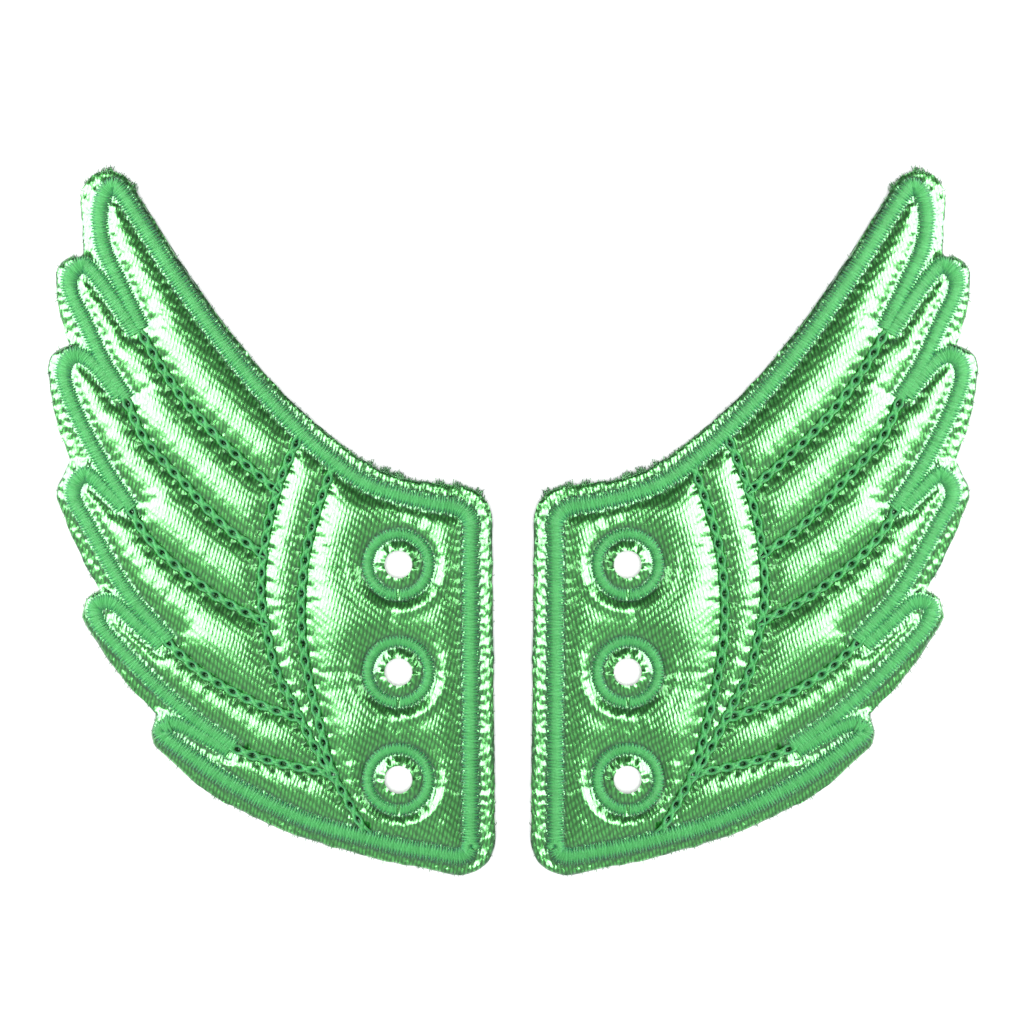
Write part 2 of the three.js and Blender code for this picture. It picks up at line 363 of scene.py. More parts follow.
def directions(angles):
    return np.stack([np.cos(angles), np.sin(angles)], axis=1)


def circle(centre, radius, count):
    return centre + radius * directions(np.linspace(0, math.tau, count, endpoint=False))


def double_areas(points, triangles):
    """Twice each triangle's area, with a minus where its corners run clockwise."""
    a, b, c = (points[triangles[:, k]] for k in range(3))
    return (b[:, 0] - a[:, 0]) * (c[:, 1] - a[:, 1]) - (b[:, 1] - a[:, 1]) * (c[:, 0] - a[:, 0])


def from_holes(points):
    return np.min([np.linalg.norm(points - centre, axis=1) for centre in HOLES], axis=0)


def net(edge, spacing, features=()):
    """Points and triangles that fill the cut edge, less the lace holes, with points on the features."""
    loops = [edge] + [circle(centre, HOLE_RADIUS, HOLE_POINTS) for centre in HOLES]
    fixed = np.vstack(loops)
    if len(features):
        room, _ = nearest(features, fixed)
        fixed = np.vstack([fixed, features[(room > 0.5 * spacing) & is_inside(features, edge)]])
    low, high = edge.min(axis=0), edge.max(axis=0)
    rows = np.arange(low[1], high[1], spacing * math.sqrt(0.75))
    columns = np.arange(low[0], high[0], spacing)
    grid = np.array([(x + spacing / 2 * (j % 2), y) for j, y in enumerate(rows) for x in columns])
    grid = grid[is_inside(grid, edge)]
    room, _ = nearest(grid, fixed)
    points = np.vstack([fixed, grid[(room > 0.6 * spacing) & (from_holes(grid) >= HOLE_RADIUS)]])
    links, start = [], 0
    for loop in loops:
        links += [(start + i, start + (i + 1) % len(loop)) for i in range(len(loop))]
        start += len(loop)
    found = delaunay_2d_cdt([Vector(p) for p in points], links, [], 1, 1e-6)
    points = np.array([tuple(p) for p in found[0]])
    triangles = np.array(found[2])
    triangles = triangles[from_holes(points[triangles].mean(axis=1)) > HOLE_RADIUS]
    clockwise = double_areas(points, triangles) < 0
    triangles[clockwise] = triangles[clockwise][:, ::-1]
    return points, triangles


# %% [markdown]
# ## How the stitches hold the cloth down
# Under a satin column, a ring or a seam the needle has pulled the face close to the stiffener. These
# functions say how far a place is from each kind of stitching, so that the cloth can be held there and
# free elsewhere.

# %% Measure from the stitching
NEEDLE_PITCH = 2.65
STITCHED_Z = 2.1  # the height of the face where a stitch holds it
LINE_STEP = 0.15

satin_points = np.vstack([smooth_line(p, LINE_STEP)[0] for p in SATIN_LINES.values()])
seam_parts = [smooth_line(p, LINE_STEP) for p in SEAM_LINES.values()]
seam_points = np.vstack([part[0] for part in seam_parts])
hole_parts = [smooth_line(p, NEEDLE_PITCH) for p in SEAM_LINES.values()]
needle_holes = np.vstack([part[0] for part in hole_parts])
needle_ways = np.vstack([part[1] for part in hole_parts])
stitch_phase = np.concatenate(
    [fine[2] / fine[2][-1] * (len(holes[0]) - 1) for fine, holes in zip(seam_parts, hole_parts)]
)


def outwards_of(loop):
    """The direction out of the cloth at each point of a loop that runs anticlockwise."""
    return -left_of(unit(np.roll(loop, -1, axis=0) - np.roll(loop, 1, axis=0)))


OUTWARDS = outwards_of(OUTLINE)


def from_stitching(places):
    """How each place lies to the satin, the seams, the cut edge and the nearest lace hole."""
    satin, sewn = nearest(places, satin_points)
    seam, along = nearest(places, seam_points)
    edge, rim = nearest(places, OUTLINE)
    spokes = np.array([places - centre for centre in HOLES])
    which = np.argmin(np.linalg.norm(spokes, axis=2), axis=0)
    spoke = spokes[which, np.arange(len(places))]
    around = np.arctan2(spoke[:, 1], spoke[:, 0]) + 2.1 * which  # starts elsewhere at each hole
    hole = from_holes(places)
    return SimpleNamespace(
        satin=satin - SATIN_WIDTH / 2,
        stitch=sewn * LINE_STEP,
        seam=seam,
        phase=stitch_phase[along] % 1,
        margin=edge < satin,
        edge=edge,
        outwards=OUTWARDS[rim],
        hole=hole,
        spoke=unit(spoke),
        round=around,
        ring=np.abs(hole - RING_MIDDLE) - RING_HALF,
    )


# %% [markdown]
# ## Blow up the pillows
# The face cloth is simulated, as real cloth finds its own shape. It gets a little more cloth than the
# flat drawing, it is pinned wherever a stitch holds it, and air under it stands for the wadding. The
# spare cloth makes the small puckers beside the seams, which no formula draws as well. It is simulated
# large, because the solver is made for things of a garment's size.

# %% Simulate the face cloth
SIM_SCALE = 0.02  # scene units to a millimetre
SIM_SPACING = 0.8
SIM_FRAMES = 24
SPARE_CLOTH = 0.01
PRESSURE = 34.0


def pillow_heights():
    """The simulated face as a tree that rays can be cast at."""
    sides = [
        line + sign * SATIN_WIDTH / 2 * left_of(way)
        for line, way, _ in (smooth_line(p, SIM_SPACING) for p in SATIN_LINES.values()) for sign in (-1, 1)
    ]
    seams = [smooth_line(p, SIM_SPACING)[0] for p in SEAM_LINES.values()]
    rings = [circle(centre, radius, HOLE_POINTS) for centre in HOLES for radius in (RING_INNER, RING_OUTER)]
    points, triangles = net(OUTLINE[::2], SIM_SPACING, np.vstack(sides + seams + rings))
    where = from_stitching(points)
    sewn = (where.satin < 0.12) | (where.seam < 0.3) | (where.hole < RING_OUTER + 0.1)
    held = sewn | where.margin
    wobble = chance.normal(0, 0.05, len(points))
    heights = np.where(held, STITCHED_Z, STITCHED_Z + 0.15 + wobble)
    spots = np.column_stack([points, heights]) * SIM_SCALE
    mesh = bpy.data.meshes.new("pillow_cloth")
    mesh.from_pydata(spots.tolist(), [], triangles.tolist())
    cloth = bpy.data.objects.new("pillow_cloth", mesh)
    bpy.context.scene.collection.objects.link(cloth)
    group = cloth.vertex_groups.new(name="held")
    group.add(np.nonzero(held)[0].tolist(), 1.0, "REPLACE")
    select_only(cloth)
    bpy.ops.object.modifier_add(type="CLOTH")
    settings = cloth.modifiers["Cloth"].settings
    settings.quality = 6
    settings.mass = 0.15
    settings.tension_stiffness = settings.compression_stiffness = 4
    settings.shear_stiffness = 2
    settings.bending_stiffness = 6
    settings.vertex_group_mass = "held"
    settings.shrink_min = -SPARE_CLOTH
    settings.use_pressure = True
    settings.uniform_pressure_force = PRESSURE
    settings.effector_weights.gravity = 0
    for number in range(1, SIM_FRAMES + 1):
        bpy.context.scene.frame_set(number)
    bpy.ops.object.modifier_apply(modifier="Cloth")
    bpy.context.scene.frame_set(1)
    final = np.array([v.co for v in cloth.data.vertices]) / SIM_SCALE
    rise = final[~held, 2] - STITCHED_Z
    print(f"pillows rise {rise.max():.2f} mm, mean {rise.mean():.2f}")
    tree = BVHTree.FromPolygons(final.tolist(), triangles.tolist())
    bpy.data.objects.remove(cloth)
    return tree


pillows = pillow_heights()

# %% [markdown]
# ## The height of the face
# Wadding is only so thick, so tall pillows are flattened softly at their tops. Then the details that are
# finer than the simulated net go on: the pit where each needle went in, and the pucker beside each
# stitch.

# %% Face height
WADDING_LIFT = 2.8
LOWEST_FACE = 1.45
PIT_DEPTH = 0.6
PIT_SIZE = (0.52, 0.34)  # along the seam and across it
PUCKER = 0.38  # between two needle holes of a seam
SEAM_GROOVE = 0.2
SATIN_PUCKER = 0.2
PUCKER_PERIOD = 1.35
RING_BULGE = 0.1
CRESCENT = 0.6  # the cloth's swell beside each ring
CRESCENT_WAYS = ((1, (0.77, -0.64)), (0.5, (-0.94, -0.34)))  # a share of it, and the side it lies on
LIP = 0.55  # the rolled edge round each lace hole
LIP_RADIUS = 2.18  # and how near the hole's middle it leans
MARGIN_FLARE = 0.42
MARGIN_WAVE = 0.06
CUT_EDGE_DROP = 0.25
SKIPPED_LIFT = 1.6  # the pillows' height and reach when simulations are skipped


def bump(distance, middle, width):
    """1 at the middle, and falling away smoothly on both sides of it."""
    return np.exp(-(((distance - middle) / width) ** 2))


def ray_heights(tree, points, missed):
    """Where a ray from above meets the surface over each point, or the missed height where it meets none."""
    hits = [tree.ray_cast(Vector((x, y, 50)), Vector((0, 0, -1)))[0] for x, y in points]
    return np.array([hit.z if hit else missed for hit in hits])


def simulated_lift(points, where):
    if pillows is None:
        free = np.minimum.reduce([where.satin, where.seam, where.ring])
        free[where.margin | (where.hole < RING_OUTER)] = 0
        return SKIPPED_LIFT * (1 - np.exp(-np.clip(free, 0, None) / SKIPPED_LIFT))
    return ray_heights(pillows, points, STITCHED_Z) - STITCHED_Z


def needle_pit(points):
    """1 in a needle hole and 0 outside it, for holes that are longer than they are wide."""
    _, which = nearest(points, needle_holes)
    away, way = points - needle_holes[which], needle_ways[which]
    along = (away * way).sum(axis=1) / PIT_SIZE[0]
    across = (away[:, 0] * way[:, 1] - away[:, 1] * way[:, 0]) / PIT_SIZE[1]
    return np.exp(-(along**2) - across**2)


def into_hole(where):
    """0 at a ring's inner side and 1 at the cut edge of its lace hole."""
    return np.clip((RING_INNER - where.hole) / (RING_INNER - HOLE_RADIUS), 0, 1)


def face_height(points, where):
    """The height of the face, and how far each place is pulled into a needle hole or a pucker, which later
    sets painted shade there.
    """
    lift = np.clip(simulated_lift(points, where), 0, None)
    height = STITCHED_Z + WADDING_LIFT * np.tanh(lift / WADDING_LIFT)
    pit = needle_pit(points)
    crease = bump(where.phase, 0.5, 0.15) * bump(where.seam, 0.95, 0.6)
    height -= PIT_DEPTH * pit + PUCKER * crease + SEAM_GROOVE * bump(where.seam, 0, 0.45)
    outside = where.hole > RING_OUTER
    height += RING_BULGE * bump(where.ring, 0.7, 0.4) * outside
    side = sum(share * np.clip(where.spoke @ way, 0, 1) ** 2 for share, way in CRESCENT_WAYS)
    swell = bump(where.ring, 1.45, 0.9) * np.tanh(np.clip(where.satin, 0, None) / 0.8)
    height += CRESCENT * side * swell * outside
    sewn = where.stitch
    pull = 0.5 + 0.5 * np.sin(math.tau * sewn / PUCKER_PERIOD + 2 * np.sin(sewn / 2.3))
    height -= SATIN_PUCKER * pull * bump(where.satin, 0.4, 0.35) * outside
    ragged = 1 + 0.25 * np.sin(11 * where.round) + 0.2 * np.sin(17 * where.round)
    height += LIP * np.sin(into_hole(where) * 1.9) ** 2 * ragged
    flare = np.clip((where.satin + 0.1) / 1.6, 0, 1) * where.margin
    tilt = MARGIN_FLARE * (where.outwards[:, 0] - 0.6 * np.abs(where.outwards[:, 1]))
    wave = np.sin(1.9 * points[:, 1] + 1.3 * points[:, 0]) + np.sin(3.7 * points[:, 1] - 2.1 * points[:, 0])
    height += flare * (tilt + MARGIN_WAVE * wave) - CUT_EDGE_DROP * bump(where.edge, 0, 0.2)
    return np.maximum(height, LOWEST_FACE), np.maximum(pit, 0.35 * crease)


# %% [markdown]
# ## Turning numbers into pieces
# Every piece of the left wing is made by one function, which also makes its mirror image for the right
# wing. A mirrored mesh is inside out until its faces are turned round, so their corners are listed the
# other way.


def add_piece(name, spots, faces, material, uv, values=None, smooth_angle=None):
    """The left piece and its mirror image, from spots in mm, each with a uv and named values."""
    pieces = []
    for hand, sign in (("left", 1), ("right", -1)):
        mesh = bpy.data.meshes.new(f"{hand}_{name}")
        turned = faces if sign > 0 else [tuple(face)[::-1] for face in faces]
        mesh.from_pydata((spots * (sign * MM, MM, MM)).tolist(), [], [tuple(face) for face in turned])
        layer = mesh.uv_layers.new(name="cloth")
        corners = np.empty(len(mesh.loops), int)
        mesh.loops.foreach_get("vertex_index", corners)
        layer.data.foreach_set("uv", uv[corners].astype(np.float32).ravel())
        for key, value in (values or {}).items():
            mesh.attributes.new(key, "FLOAT", "POINT").data.foreach_set("value", value.astype(np.float32))
        mesh.polygons.foreach_set("use_smooth", np.ones(len(mesh.polygons), bool))
        mesh.materials.append(material)
        piece = bpy.data.objects.new(f"{hand}_{name}", mesh)
        bpy.context.scene.collection.objects.link(piece)
        WINGS[hand].objects.link(piece)
        if smooth_angle:
            select_only(piece)
            bpy.ops.object.shade_smooth_by_angle(angle=math.radians(smooth_angle))
        pieces.append((piece, hand, sign))
    return pieces


def settle(pieces, nodes, rides=None):
    """Hides the frame's parts that the pieces stand in for, and parents each piece to the body it rides with,
    or else bakes its placement into its mesh.
    """
    for piece, hand, sign in pieces:
        if nodes:
            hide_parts(*[f"{hand}_{node}" for node in nodes])
        if rides:
            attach(piece, f"{hand}_{rides}")
            continue
        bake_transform(piece)


def slab(points, triangles, top, bottom):
    """A closed sheet between two heights over one net, and the walls round its edges."""
    count = len(points)
    spots = np.column_stack([np.vstack([points, points]), np.concatenate([top, bottom])])
    edges = np.vstack([triangles[:, [0, 1]], triangles[:, [1, 2]], triangles[:, [2, 0]]])
    one_way = {tuple(edge) for edge in edges.tolist()}
    walls = [(b, a, a + count, b + count) for a, b in one_way if (b, a) not in one_way]
    faces = triangles.tolist() + (triangles[:, ::-1] + count).tolist() + sorted(walls)
    return spots, faces


# %% [markdown]
# ## Materials
# Each finish is built from textures that are worked out, not painted. A small helper adds and joins the
# nodes, so that each material reads as a short recipe.

# %% Node helper


class Finish:
    """One material and its shader."""

    def __init__(self, name):
        self.material = bpy.data.materials.new(name)
        self.material.use_nodes = True
        self.tree = self.material.node_tree
        self.shader = self.tree.nodes["Principled BSDF"]

    def feed(self, node, inputs):
        """Joins each input to another node's output, or sets it to a number or a colour."""
        for key, value in inputs.items():
            socket = node.inputs[key if isinstance(key, int) else key.replace("_", " ")]
            if isinstance(value, bpy.types.NodeSocket):
                self.tree.links.new(value, socket)
            else:
                socket.default_value = value

    def node(self, kind, inputs, **settings):
        made = self.tree.nodes.new(f"ShaderNode{kind}")
        for key, value in settings.items():
            setattr(made, key, value)
        self.feed(made, inputs)
        return made

    def shade(self, **inputs):
        self.feed(self.shader, inputs)

    def cloth_uv(self, turn=0.0, stretch=(1, 1, 1)):
        uv = self.node("UVMap", {}, uv_map="cloth")
        place = {"Vector": uv.outputs["UV"], "Rotation": (0, 0, turn), "Scale": stretch}
        return self.node("Mapping", place).outputs["Vector"]

    def value(self, name):
        return self.node("Attribute", {}, attribute_name=name).outputs["Fac"]

    def noise(self, vector, scale, **inputs):
        return self.node("TexNoise", {"Vector": vector, "Scale": scale, **inputs}).outputs["Fac"]

    def bands(self, vector, scale, way, **inputs):
        inputs = {"Vector": vector, "Scale": scale, **inputs}
        return self.node("TexWave", inputs, bands_direction=way).outputs["Fac"]

    def spread(self, value, **limits):
        return self.node("MapRange", {"Value": value, **limits}).outputs["Result"]

    def relief(self, height, depth, strength):
        """A bump of a depth in mm."""
        inputs = {"Height": height, "Distance": depth * MM, "Strength": strength}
        return self.node("Bump", inputs).outputs["Normal"]

    def product(self, a, b):
        return self.node("Math", {0: a, 1: b}, operation="MULTIPLY").outputs["Value"]

    def weighted(self, a, share_a, b, share_b):
        parts = {0: self.product(a, share_a), 1: self.product(b, share_b)}
        return self.node("Math", parts, operation="ADD").outputs["Value"]

    def colour_mix(self, amount, low, high):
        """A colour between two. The Mix node's inputs 6 and 7 and its output 2 are the ones for colours."""
        return self.node("Mix", {0: amount, 6: low, 7: high}, data_type="RGBA").outputs[2]


# %% [markdown]
# ### Foil cloth
# A thin metallic film is pressed onto a finely ribbed cloth. The ribs break its shine into streaks, and
# the film cracks a little, so no two streaks are alike. It is nearly a metal, with a clear coat that
# gives the white gleam. Its colour is darkened as painted shade in the needle holes, in the puckers,
# along the seams and beside the satin, and it is darker in patches along the cut edge.

# %% Foil cloth
RIB_PITCH = 0.58
TWILL_PITCH = 1.05
WAVE_PERIOD = math.tau / 20  # of a wave texture at scale 1


def foil_cloth():
    foil = Finish("foil_cloth")
    slant = math.radians(14)
    lay = foil.cloth_uv(slant)
    ribs = foil.bands(lay, WAVE_PERIOD / RIB_PITCH, "X", Distortion=2.2, Detail=2, Detail_Scale=1.6)
    turned = foil.cloth_uv(math.radians(-52))
    twill = foil.bands(turned, WAVE_PERIOD / TWILL_PITCH, "X", Distortion=3, Detail=2)
    cracks = foil.noise(lay, 0.35, Detail=5, Roughness=0.65)
    specks = foil.noise(foil.cloth_uv(slant, (2.4, 1.2, 1)), 1, Detail=2)
    woven = foil.weighted(ribs, twill, ribs, 0.35)
    grain = foil.weighted(woven, 0.6, specks, 0.55)
    tone = foil.spread(grain, From_Min=0.2, From_Max=0.9)
    base = foil.colour_mix(tone, (0.005, 0.15, 0.008, 1), (0.10, 0.68, 0.11, 1))
    # Painted shade and tone: the face's needle holes, puckers, seams and satin sides are darkened, and the
    # yarn ends get a random tone.
    painted_shade_and_tone = foil.colour_mix(foil.value("painted_shade_and_tone"), base, (0.004, 0.075, 0.03, 1))
    rough = foil.spread(cracks, To_Min=0.19, To_Max=0.34)
    relief = foil.relief(foil.weighted(grain, 0.7, cracks, 0.6), 0.06, 1.0)
    foil.shade(Base_Color=painted_shade_and_tone, Metallic=0.9, Roughness=rough, Normal=relief)
    foil.shade(Coat_Weight=1.0, Coat_Roughness=0.24, Coat_IOR=1.9, Coat_Normal=relief)
    return foil.material


foil_material = foil_cloth()

# %% [markdown]
# ### Thread, lining, stiffener and wadding
# Embroidery thread is two twisted strands of shiny fibre: fine slanting lines run round it, and each
# stitch catches the light a little differently. The lining is a plain weave. The stiffener and the
# wadding are felts, where fibres lie every way.

# %% Thread and the plain cloths
YARN_PITCH = 0.42


def thread(name, dark, light):
    finish = Finish(name)
    uv = finish.cloth_uv()
    twist = finish.bands(uv, 0.9, "DIAGONAL", Distortion=0.6, Detail=1)
    tone = finish.weighted(finish.value("strand"), 0.45, twist, 0.25)
    tone = finish.weighted(tone, 1, finish.noise(uv, 0.5), 0.2)
    colour = finish.colour_mix(tone, dark, light)
    # Painted shade: dark green on the stitch ends that dive into the cloth and round the needle holes.
    painted_sunk_shade = finish.colour_mix(finish.value("painted_sunk_shade"), colour, (0.010, 0.17, 0.085, 1))
    finish.shade(Base_Color=painted_sunk_shade, Roughness=0.42, Normal=finish.relief(twist, 0.04, 0.8))
    finish.shade(Sheen_Weight=0.25, Sheen_Roughness=0.4, Specular_IOR_Level=0.6)
    return finish.material


def woven_lining():
    lining = Finish("woven_lining")
    uv = lining.cloth_uv()
    across, along = (lining.bands(uv, WAVE_PERIOD / YARN_PITCH, way, Distortion=0.5) for way in ("X", "Y"))
    weave = lining.product(across, along)
    tone = lining.weighted(weave, 0.6, lining.noise(uv, 1.2, Detail=4), 0.5)
    colour = lining.colour_mix(tone, (0.012, 0.11, 0.024, 1), (0.048, 0.27, 0.065, 1))
    lining.shade(Base_Color=colour, Roughness=0.85, Normal=lining.relief(weave, 0.08, 1.0), Sheen_Weight=0.3)
    return lining.material


def felt(name, dark, light, scale):
    finish = Finish(name)
    fibres = finish.noise(finish.node("TexCoord", {}).outputs["Object"], scale, Detail=8, Roughness=0.7)
    colour = finish.colour_mix(fibres, dark, light)
    finish.shade(Base_Color=colour, Roughness=0.95, Normal=finish.relief(fibres, 0.15, 1.0), Sheen_Weight=0.4)
    return finish.material


def pale_table():
    finish = Finish("pale_table")
    grain = finish.noise(finish.node("TexCoord", {}).outputs["Object"], 60, Detail=3)
    colour = finish.colour_mix(grain, (0.86, 0.87, 0.87, 1), (0.90, 0.90, 0.90, 1))
    finish.shade(Base_Color=colour, Roughness=0.9)
    return finish.material


thread_material = thread("embroidery_thread", (0.023, 0.265, 0.047, 1), (0.082, 0.50, 0.13, 1))
bobbin_material = thread("bobbin_thread", (0.03, 0.30, 0.07, 1), (0.09, 0.55, 0.16, 1))
lining_material = woven_lining()
stiffener_material = felt("stiffener_felt", (0.50, 0.56, 0.50, 1), (0.85, 0.88, 0.84, 1), 2500)
wadding_material = felt("wadding_fibre", (0.55, 0.60, 0.52, 1), (0.92, 0.93, 0.88, 1), 1800)

table.data.materials.append(pale_table())

# %% [markdown]
# ## The layers
# The face is netted finely, because its shape is what the light plays on. The layers below only show at
# the cut edge and, for the lining, from behind, so their nets are coarse. Each layer's edge wanders a
# little on its own, and the wadding shrinks back from the cut.

# %% Face cloth
FACE_SPACING = 0.42
FACE_THICKNESS = 0.3


def wander(loop, amount, reach):
    """The loop again, pushed in and out a little, as scissors wander over the given reach in mm."""
    outwards = outwards_of(loop)
    rough = chance.normal(0, 1, len(loop))
    width = max(1, round(reach / EDGE_STEP))
    kernel = np.hanning(2 * width + 3)[1:-1]
    kernel = kernel / kernel.sum() * math.sqrt(width)
    rough = np.convolve(np.concatenate([rough[-width:], rough, rough[:width]]), kernel, "valid")
    return loop + outwards * (rough[: len(loop)] * amount)[:, None]


pit_rings = np.vstack([circle(hole, radius, 8) for hole in needle_holes for radius in (0.24, 0.5)])
features = np.vstack([needle_holes, pit_rings])
face_points, face_triangles = net(wander(OUTLINE, 0.07, 0.8), FACE_SPACING, features)
face_where = from_stitching(face_points)
face_top, face_pit = face_height(face_points, face_where)
beside_satin = np.minimum(face_where.satin, face_where.ring)
patch = np.sin(face_points @ (0.9, 0.4)) + np.sin(face_points @ (-0.23, 0.37) + 1)
# Painted shade in the needle holes and puckers, beside the satin and the rings, and along the seams; along
# the cut edge the face is darker in patches.
painted_shade_and_tone = np.maximum.reduce([
    0.95 * face_pit,
    0.8 * bump(beside_satin, 0, 0.22),
    0.15 * bump(face_where.seam, 0, 0.5),
    np.clip(0.3 + 0.4 * patch, 0, 0.8) * bump(face_where.edge, 0, 0.35),  # darker in patches along the cut edge
])
lean = (HOLE_RADIUS - LIP_RADIUS) * into_hole(face_where) ** 2
leaning = face_points - face_where.spoke * lean[:, None]
spots, faces = slab(leaning, face_triangles, face_top, face_top - FACE_THICKNESS)
uv, values = np.vstack([face_points, face_points]), {"painted_shade_and_tone": np.tile(painted_shade_and_tone, 2)}
face_pieces = add_piece("face_cloth", spots, faces, foil_material, uv, values, 60)
settle(face_pieces, ["tab_face", "feathers_face", "fold_strip"])
print(f"face cloth: {len(faces)} faces, {face_top.min():.2f} to {face_top.max():.2f} mm high")

# %% Wadding
LAYER_SPACING = 1.4
WADDING_BOTTOM = 1.0
under_face = BVHTree.FromPolygons(
    np.column_stack([face_points, face_top - FACE_THICKNESS]).tolist(), face_triangles.tolist()
)


def inset(loop, amount):
    return loop - amount * outwards_of(loop)


wadding_points, wadding_triangles = net(wander(inset(OUTLINE, 0.25), 0.08, 0.6), LAYER_SPACING)
ceiling = ray_heights(under_face, wadding_points, STITCHED_Z - FACE_THICKNESS)
squeezed = bump(from_stitching(wadding_points).seam, 0, 1.6)
wadding_top = np.maximum(ceiling - 0.15 - 0.7 * squeezed, WADDING_BOTTOM + 0.04)
wadding_bottom = np.full(len(wadding_points), WADDING_BOTTOM)
spots, faces = slab(wadding_points, wadding_triangles, wadding_top, wadding_bottom)
wadding_pieces = add_piece("wadding", spots, faces, wadding_material, spots[:, :2], None, 50)
settle(wadding_pieces, ["tab_padding", "feathers_padding"])
print(f"wadding: up to {wadding_top.max() - WADDING_BOTTOM:.2f} mm thick")

# %% Stiffener and lining
BACK_BOTTOM = 0.14  # the lining's underside, which leaves room for the bobbin thread


def flat_layer(name, edge, top, bottom, material, node):
    """A flat sheet, cut along an edge, that stands in for the frame's tab and feather parts of the given
    name.
    """
    points, triangles = net(edge, LAYER_SPACING)
    level = np.ones(len(points))
    spots, faces = slab(points, triangles, top * level, bottom * level)
    pieces = add_piece(name, spots, faces, material, spots[:, :2], None, 50)
    settle(pieces, [f"tab_{node}", f"feathers_{node}"])


stiffener_edge = wander(inset(OUTLINE, 0.1), 0.05, 1.2)
flat_layer(
    "stiffener", stiffener_edge, 0.94, 0.52, stiffener_material, "stiffener"
)
lining_edge = wander(OUTLINE, 0.06, 0.9)
flat_layer("back_lining", lining_edge, 0.47, BACK_BOTTOM, lining_material, "back")

# %% [markdown]
# ## One stitch
# A satin column is hundreds of stitches side by side, so one is modelled with care and laid again and
# again. It starts as a six-sided rod along X, is cut into short lengths, and its ends are drawn thin and
# pushed down, as they are where the thread dives into the cloth.

# %% Model the stitches


def shape_rod(cuts, profile, sides=6):
    """A rod from x = -1 to 1, cut at some places. profile(x) says its width, height, lift, painted shade at
    its sunk ends and bow.
    """
    deselect_all()
    bpy.ops.mesh.primitive_cylinder_add(vertices=sides, radius=0.5, depth=2, rotation=(0, math.pi / 2, 0))
    rod = bpy.context.object
    bpy.ops.object.transform_apply(location=False, rotation=True, scale=True)
    bpy.ops.object.mode_set(mode="EDIT")
    for x in cuts:
        bpy.ops.mesh.select_all(action="SELECT")
        bpy.ops.mesh.bisect(plane_co=(x, 0, 0), plane_no=(1, 0, 0))
    bpy.ops.object.mode_set(mode="OBJECT")
    spots = np.array([v.co for v in rod.data.vertices])
    faces = [tuple(p.vertices) for p in rod.data.polygons]
    bpy.data.objects.remove(rod)
    x = spots[:, 0]
    width, height, lift, painted_sunk_shade, bow = profile(x)
    angle = np.arctan2(spots[:, 2], spots[:, 1]) / math.tau
    shaped = np.stack([x, spots[:, 1] * width, spots[:, 2] * height + lift], axis=1)
    return {"spots": shaped, "faces": faces, "angle": angle, "painted_sunk_shade": painted_sunk_shade, "bow": bow}


def satin_profile(x):
    width = 0.34 + 0.66 * (1 - np.abs(x) ** 3)
    lift = 0.62 * (1 - np.abs(x) ** 2.6) - 0.3
    # The fourth value is painted shade on the ends that dive into the cloth.
    return width, 0.42 * width, lift, np.clip((np.abs(x) - 0.48) / 0.4, 0, 1), 1 - x**2


def link_profile(x):
    width = 1 - 0.25 * np.abs(x) ** 6
    round_hole = np.exp(-((x / 0.4) ** 2))
    lift = 0.2 - 0.3 * round_hole - 0.5 * np.abs(x) ** 14
    # The fourth value is painted shade where the strands go round the needle hole.
    return width, 0.8 * width, lift, 0.45 * round_hole, 0.5 + 0.5 * round_hole


def fray_profile(x):
    width = 1 - 0.35 * (x + 1) / 2
    return width, width, 0 * x, 0 * x, 1 - x**2


satin_stitch = shape_rod((-0.9, -0.68, -0.3, 0.3, 0.68, 0.9), satin_profile)
chain_link = shape_rod((-0.92, -0.65, -0.42, -0.2, 0, 0.2, 0.42, 0.65, 0.92), link_profile)
yarn_end = shape_rod((-0.4, 0.3), fray_profile, sides=5)
print("faces in a satin stitch:", len(satin_stitch["faces"]))

# %% [markdown]
# ## Laying stitches
# A laid stitch needs a middle, a direction, a length and a height. Copies of one rod differ only in
# those, so they are all placed in one sum. Every stitch keeps a random value of its own for its shade.

# %% Lay copies of a stitch


def lay(stitch, middles, ways, half_lengths, widths, heights, lean=0.0, bow=0.0, lift=1.0, depth=0.8):
    """One mesh of many stitches. ways are unit directions of their length, and bow swells them sideways.
    depth scales the painted shade at their sunk ends.
    """
    shape, count = stitch["spots"], len(middles)
    x, y, z = (shape[None, :, k] for k in range(3))

    def as_column(value):
        return np.broadcast_to(np.asarray(value, float), (count,))[:, None]

    side = left_of(ways)
    reach = x * as_column(half_lengths)
    offset = y * as_column(widths) + as_column(lean) * x + as_column(bow) * stitch["bow"]
    flat = middles[:, None, :] + reach[..., None] * ways[:, None, :] + offset[..., None] * side[:, None, :]
    high = as_column(heights) + as_column(lift) * z
    spots = np.concatenate([flat, high[..., None]], axis=2).reshape(-1, 3)
    starts = np.arange(count) * len(shape)
    faces = [tuple(i + start for i in face) for start in starts for face in stitch["faces"]]
    shade = np.repeat(chance.random(count), len(shape))
    # Painted shade at the sunk ends, a little stronger or weaker on each stitch.
    painted_sunk_shade = (stitch["painted_sunk_shade"][None, :] * as_column(depth + 0.4 * (chance.random(count) - 0.5))).ravel()
    length_mm = (x * as_column(half_lengths) * 4).ravel()
    uv = np.stack([length_mm, np.tile(stitch["angle"] * 4, count)], axis=1)
    return spots, faces, uv, {"strand": shade, "painted_sunk_shade": painted_sunk_shade}


def joined(parts):
    """Laid meshes as one."""
    faces, start = [], 0
    for part in parts:
        faces += [tuple(i + start for i in face) for face in part[1]]
        start += len(part[0])
    values = {key: np.concatenate([part[3][key] for part in parts]) for key in parts[0][3]}
    return np.vstack([p[0] for p in parts]), faces, np.vstack([p[2] for p in parts]), values


